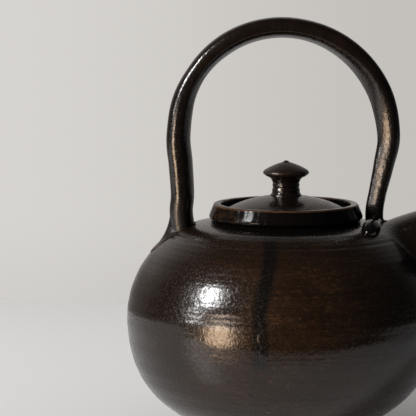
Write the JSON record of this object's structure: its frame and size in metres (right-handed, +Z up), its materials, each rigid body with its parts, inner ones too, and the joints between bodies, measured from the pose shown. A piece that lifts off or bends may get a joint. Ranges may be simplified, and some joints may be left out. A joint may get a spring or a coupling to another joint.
{
  "type": "ceramic teapot",
  "caption": "Round dark-glazed stoneware teapot with a fixed arched overhead handle, an inset domed lid with a mushroom knob, and a short tapered spout.",
  "frame": {"origin": "middle of the flat foot, on the axis on which the pot was thrown", "axes": "+Z up along the pot's axis, +X towards the spout, the arch of the handle in the XZ plane"},
  "size_m": [0.1843, 0.15, 0.1973],
  "materials": {
    "bronze_glaze": "glossy dark bronze iron glaze",
    "black_glaze": "glossy black iron glaze where it lies thick",
    "bare_clay": "matt unglazed stoneware"
  },
  "bodies": {
    "pot": {"belly": "bronze_glaze", "foot": "bare_clay", "collar": "black_glaze", "lid_gallery": "bronze_glaze", "spout": "bronze_glaze", "spout_luting_coil": "black_glaze", "strainer": "bronze_glaze", "handle": "bronze_glaze", "handle_foot_left": "black_glaze", "handle_foot_right": "black_glaze"},
    "lid_seat_ring": {"lid_flange": "bare_clay"},
    "lid": {"lid_plate": "bronze_glaze", "knob_stem": "bronze_glaze", "knob_cap": "bronze_glaze"}
  },
  "joints": [
    {"name": "lid_lift", "type": "slide", "parent": "pot", "child": "lid_seat_ring", "axis": [0, 0, 1], "range_m": [0, 0.05]},
    {"name": "lid_turn", "type": "hinge", "parent": "lid_seat_ring", "child": "lid", "pos_m": [0, 0, 0.105], "axis": [0, 0, 1], "continuous": true}
  ]
}
